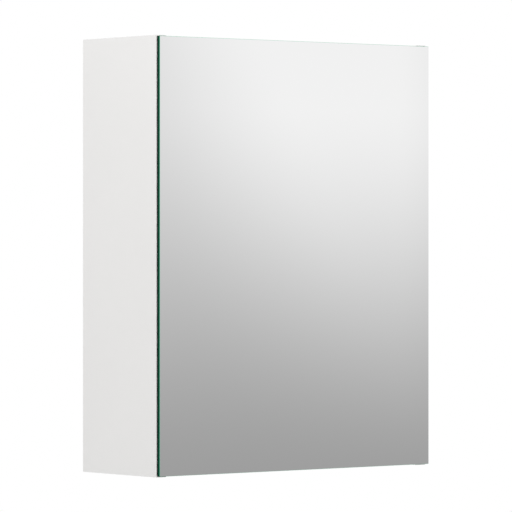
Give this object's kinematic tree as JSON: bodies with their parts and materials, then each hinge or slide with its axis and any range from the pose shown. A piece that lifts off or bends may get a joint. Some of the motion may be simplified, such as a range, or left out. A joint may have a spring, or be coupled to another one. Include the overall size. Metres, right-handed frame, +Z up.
{
  "type": "wall-hung mirror cabinet",
  "caption": "Frameless wall-hung bathroom mirror cabinet: white carcass with glass shelves behind a full-size double-sided mirror door on concealed link hinges.",
  "frame": {"origin": "on the wall plane, in the middle of the rear face of the upper rear rail, by which the cabinet hangs", "axes": "+X to the right seen from the front, +Y into the wall so the door faces -Y, +Z up"},
  "size_m": [0.45, 0.162, 0.556],
  "materials": {
    "white_lacquered_board": "white satin lacquer on board",
    "white_back_board": "white melamine face",
    "beech": "plain turned beech",
    "zinc_plated_steel": "zinc plate",
    "die_cast_zinc": "die-cast, matt",
    "white_plastic": "moulded, fine texture",
    "shelf_glass": "clear float glass with ground edges",
    "nickel_plated_steel": "bright nickel plate",
    "clear_plastic": "clear moulded",
    "clear_soft_plastic": "clear soft",
    "anodised_aluminium": "satin anodised",
    "mirror_glass": "silvered float glass with ground edges",
    "bonding_film": "matt film"
  },
  "bodies": {
    "cabinet": {"side_panel_left": "white_lacquered_board", "side_panel_right": "white_lacquered_board", "top_panel": "white_lacquered_board", "bottom_panel": "white_lacquered_board", "back_panel": "white_back_board", "upper_rear_rail": "white_lacquered_board", "lower_rear_rail": "white_lacquered_board", "wooden_dowels": "beech", "cam_bolts": "zinc_plated_steel", "cam_discs": "die_cast_zinc", "cam_caps": "white_plastic", "glass_shelf_lower": "shelf_glass", "glass_shelf_upper": "shelf_glass", "shelf_pins": "nickel_plated_steel", "shelf_pin_sleeves": "clear_plastic", "hanger_cases": "die_cast_zinc", "hanger_hooks": "zinc_plated_steel", "hanger_adjusting_screws": "zinc_plated_steel", "hanger_fixing_screws": "zinc_plated_steel", "hanger_covers": "white_plastic", "door_bumpers": "clear_soft_plastic", "hinge_mounting_plates": "nickel_plated_steel", "hinge_plate_screws": "nickel_plated_steel", "hinge_arms": "nickel_plated_steel", "hinge_arm_screws": "zinc_plated_steel", "hinge_arm_covers": "nickel_plated_steel", "hinge_arm_pins_front": "zinc_plated_steel", "hinge_arm_pins_rear": "zinc_plated_steel"},
    "outer_links": {"hinge_outer_links": "nickel_plated_steel"},
    "inner_links": {"hinge_inner_links": "nickel_plated_steel"},
    "door": {"door_front_mirror": "mirror_glass", "door_bonding_film": "bonding_film", "door_rear_mirror": "mirror_glass", "hinge_adhesive_plates": "anodised_aluminium", "hinge_cups": "nickel_plated_steel", "hinge_cup_screws": "zinc_plated_steel", "hinge_outer_link_pins": "zinc_plated_steel", "hinge_inner_link_pins": "zinc_plated_steel"}
  },
  "joints": [
    {"name": "outer_link_pivot", "type": "hinge", "parent": "cabinet", "child": "outer_links", "pos_m": [0.17711, -0.14996, 0], "axis": [0, 0, 1], "range_deg": [-80.14, 0]},
    {"name": "inner_link_pivot", "type": "hinge", "parent": "cabinet", "child": "inner_links", "pos_m": [0.1569, -0.13741, 0], "axis": [0, 0, 1], "range_deg": [-57.52, 0]},
    {"name": "door_hinge", "type": "hinge", "parent": "outer_links", "child": "door", "pos_m": [0.2045, -0.1466, 0], "axis": [0, 0, 1], "range_deg": [0, 174]}
  ],
  "couplings": [
    {"joint": "outer_link_pivot", "follows": "door_hinge", "ratio": -0.46},
    {"joint": "inner_link_pivot", "follows": "door_hinge", "ratio": -0.33}
  ]
}
